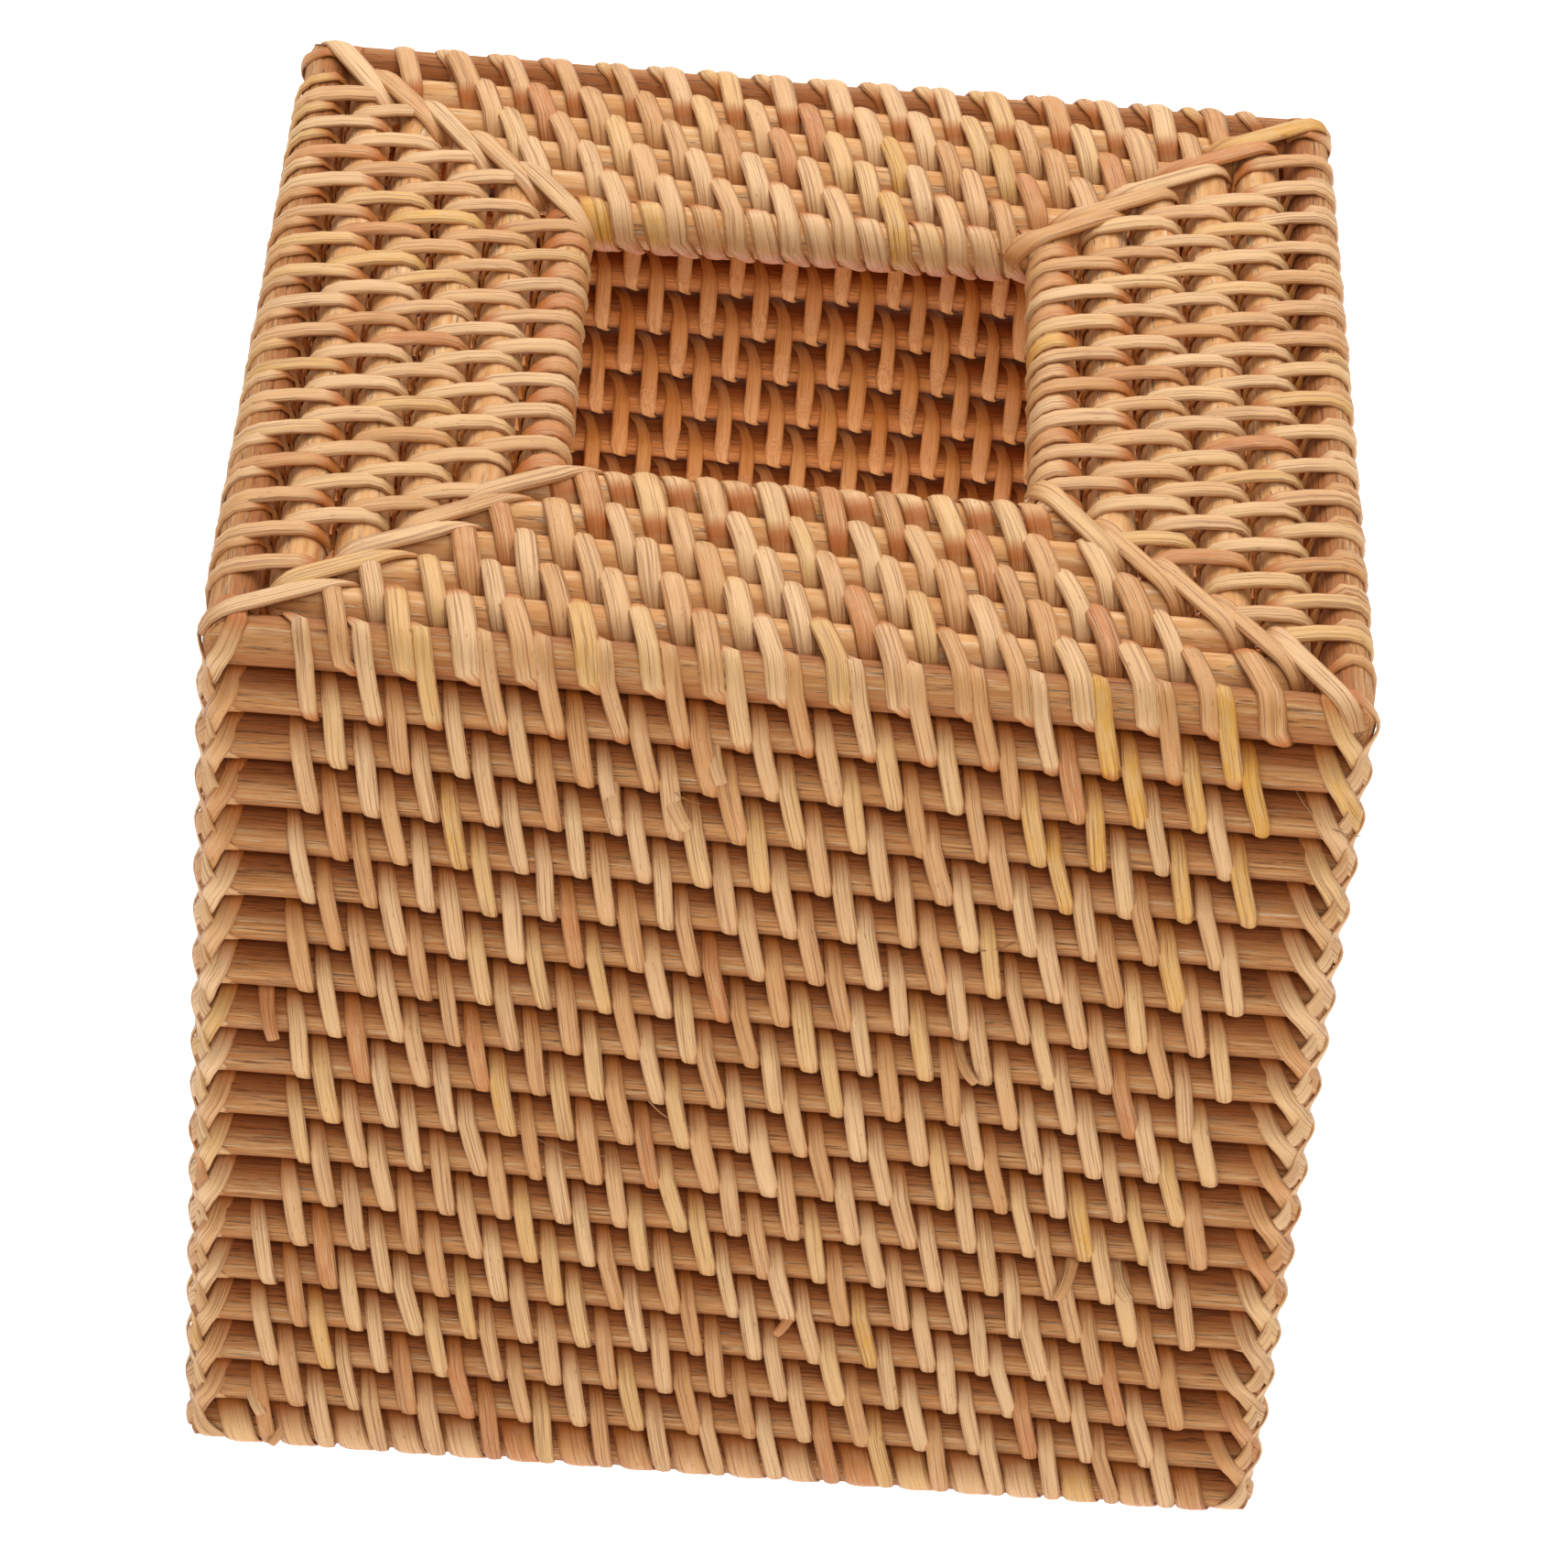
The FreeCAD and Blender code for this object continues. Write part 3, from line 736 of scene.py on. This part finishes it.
def lashing_run(top_level, falling, chance):
    """The rows of one corner strip that starts in the gap over the rod at top_level."""
    upper_reach, lower_reach = FALLING_REACHES if falling else RISING_REACHES
    upper_share = FALLING_UPPER_SHARE if falling else RISING_UPPER_SHARE
    stretch = chance.gauss(1.0, 0.07)
    upper_share += chance.gauss(0.0, 0.02)
    width = chance.gauss(0.98, 0.06)
    shade = chance.uniform(0, 1)
    foot_level = top_level - rod_pitch
    top = top_level + strip_reach
    drop = rod_pitch + 2 * strip_reach
    seat = strip_reach - full_radius + LASHING_UNDER
    rows = []

    def row(reach, level, out, lean, tip=1.0):
        place, way = round_corner(reach * stretch, out)
        facing = (way * math.cos(lean) + Vector((0, 0, math.sin(lean)))).normalized()
        rows.append((place.x, place.y, level, *facing, tip * width, shade))

    def legs(share):
        if share < 0:
            return -share * upper_reach, top - drop * upper_share * (1 + share)
        eased = 1 - (1 - share) ** LASHING_EASE
        return share * lower_reach, top - drop * (upper_share + (1 - upper_share) * eased)

    for turn in LASHING_TUCKS:
        row(upper_reach, top_level + strip_reach * math.sin(turn),
            seat - strip_reach * (1 - math.cos(turn)), turn, LASHING_TUCK_WIDTH)
    for share in np.linspace(-1, 1, 2 * LASHING_STEPS + 1):
        reach, level = legs(share)
        over = 0.5 - 0.5 * math.tanh(share * abs(lower_reach) / LASHING_SETTLE)
        top_dip, top_lean = dip(level - top_level)
        foot_dip, foot_lean = dip(foot_level - level)
        ending = max(share - LASHING_END_SHARE, 0.0) / (1 - LASHING_END_SHARE)
        sag = 0.5 - 0.5 * math.cos(2 * math.pi * (level - top_level) / rod_pitch)
        out = (
            seat + over * LASHING_OVER - sag * LASHING_SAG - top_dip - foot_dip
            - LASHING_SINK * ending ** 2)
        row(reach, level, out, math.asin(top_lean) - math.asin(foot_lean),
            1 - (1 - LASHING_END_WIDTH) * ending)
    return np.array(rows)


lashing_section = strip_section("lashing_section", LASHING_WIDTH, LASHING_THICKNESS)
for quarter, name in enumerate(CORNERS):
    chance = random.Random(5000 + quarter)
    runs = []
    for node in wall_nodes[:-1]:
        for falling in (True, False):
            rows = lashing_run(axes[node][1], falling, chance)
            runs.append((QUARTERS[quarter], (-1, -1, 0), rows))
    hand_over(
        lay_strips("corner_lashing_%s_laid" % name, runs, lashing_section),
        lashing_cane, "lashing_cane", "corner_lashing_" + name)

# Loose ends. On the front wall some cut ends of strip stick out of the gaps between the rods, and
# a few torn hairs lie on it. Each starts in a gap and bends out and down over the next rod.
END_STEPS = 7
END_DEPTH = 2.4 * MM
END_EASE = 2.2
END_BEND_START = 0.6
END_LEAN = 0.35
END_TAPER = 0.2
END_LEAST_SHADE = 0.55
# Across, height, angle from straight down, length, how far it stands out, and width share.
LOOSE_ENDS = [
    (-20.5, 115.0, 10, 6.0, 1.2, 1.0), (-14.0, 115.0, 26, 7.5, 1.5, 1.0),
    (-9.0, 122.0, 16, 7.0, 1.3, 0.9), (42.5, 42.5, -20, 5.5, 1.2, 0.8),
    (47.5, 42.5, 28, 5.0, 1.1, 0.8), (8.0, 32.0, -30, 5.0, 1.0, 0.7),
    (-61.0, 77.0, 12, 6.5, 1.2, 0.9), (24.5, 76.0, 34, 5.0, 1.1, 0.7),
    (-62.0, 12.5, 22, 5.5, 1.0, 0.8), (-56.5, 6.5, -26, 5.0, 0.8, 0.7),
    (-15.0, 66.0, 58, 10.0, 0.7, 0.09), (-31.0, 59.5, 74, 15.0, 0.6, 0.08),
    (-15.5, 115.5, 62, 7.0, 1.4, 0.08), (61.5, 118.0, 66, 9.0, 1.0, 0.08),
    (33.0, 96.0, -64, 8.0, 0.8, 0.08)]
runs = []
chance = random.Random(6000)
for across, height, angle, length, stand, width in LOOSE_ENDS:
    angle = math.radians(angle)
    shade = chance.uniform(END_LEAST_SHADE, 1)
    rows = []
    for share in np.linspace(0, 1, END_STEPS):
        along = share * length * MM
        bend = angle * (END_BEND_START + (1 - END_BEND_START) * share)
        out = stand * MM - (END_DEPTH + stand * MM) * (1 - share) ** END_EASE
        rows.append((
            across * MM + along * math.sin(bend), -wall_skin - out,
            height * MM - along * math.cos(bend), 0.0, -1.0, END_LEAN * (1 - share),
            width * (1 - END_TAPER * share), shade))
    runs.append((Matrix.Identity(4), (0, -1, 0), np.array(rows)))
hand_over(lay_strips("loose_ends", runs, strip), binding_cane, "binding_cane")

# Studio. A pale glowing floor, a soft white surround, three large soft lamps and, under the cover,
# one more, as a lit table shines up through its open bottom.
FLOOR_HALF = 3.0
FLOOR_GREY = (0.3, 0.3, 0.3, 1)
FLOOR_GLOW = 1.3
SURROUND_GLOW = 0.36
WHITE = (1, 1, 1, 1)
bpy.ops.object.select_all(action="DESELECT")
bpy.ops.mesh.primitive_plane_add(size=2 * FLOOR_HALF)
floor = bpy.context.object
floor.name = "floor"
floor_paint = bpy.data.materials.new("floor_paint")
floor_paint.use_nodes = True
floor_shader = floor_paint.node_tree.nodes["Principled BSDF"]
floor_shader.inputs["Base Color"].default_value = FLOOR_GREY
floor_shader.inputs["Roughness"].default_value = 0.8
floor_shader.inputs["Emission Color"].default_value = WHITE
floor_shader.inputs["Emission Strength"].default_value = FLOOR_GLOW
floor.data.materials.append(floor_paint)

surround = bpy.context.scene.world or bpy.data.worlds.new("surround")
bpy.context.scene.world = surround
surround.use_nodes = True
surround.node_tree.nodes["Background"].inputs["Color"].default_value = WHITE
surround.node_tree.nodes["Background"].inputs["Strength"].default_value = SURROUND_GLOW


def soft_lamp(name, place, aim, size, power):
    bpy.ops.object.light_add(type="AREA", location=place)
    lamp = bpy.context.object
    lamp.name = name
    lamp.data.size = size
    lamp.data.energy = power
    lamp.rotation_euler = (Vector(aim) - Vector(place)).to_track_quat("-Z", "Y").to_euler()


soft_lamp("front_lamp", (-0.30, -0.95, 0.05), (0, 0, 0.06), 0.5, 0.45)
soft_lamp("fill_lamp", (0.10, -0.75, 0.85), (0, 0, 0.06), 0.4, 2.7)
soft_lamp("top_lamp", (0.02, 0.40, 0.72), (0, 0, 0.1), 1.2, 9.8)
soft_lamp("table_lamp", (0, 0, 0.004), (0, 0, 0.1), 0.11, 0.08)

# Camera. Placed and turned as the photograph was taken, from a little over the front wall.
IMAGE_SIDE = 1713
FOCAL_PIXELS = 6569
SENSOR_WIDTH = 36.0
PITCH_DOWN, YAW, ROLL = 0.6450, -0.0247, 0.0892
CENTRE_HEIGHT = 0.0658
AIM = Vector((-0.00188, -0.00270, 0.8032))
base = Matrix(((1, 0, 0), (0, 0, -1), (0, 1, 0)))
look = (
    Matrix.Rotation(ROLL, 3, "Z") @ Matrix.Rotation(PITCH_DOWN, 3, "X")
    @ Matrix.Rotation(YAW, 3, "Y") @ base)
place = -(look.transposed() @ AIM) + Vector((0, 0, CENTRE_HEIGHT))
lens = bpy.data.cameras.new("camera")
lens.sensor_width = SENSOR_WIDTH
lens.lens = FOCAL_PIXELS / IMAGE_SIDE * SENSOR_WIDTH
camera = bpy.data.objects.new("camera", lens)
bpy.context.scene.collection.objects.link(camera)
camera.matrix_world = Matrix.Translation(place) @ Matrix(
    (look[0], -look[1], -look[2])).transposed().to_4x4()
bpy.context.scene.camera = camera
bpy.context.scene.view_settings.view_transform = "Standard"

for section in (strip, top_strip, rim_section, foot_section, lashing_section):
    bpy.data.objects.remove(section)
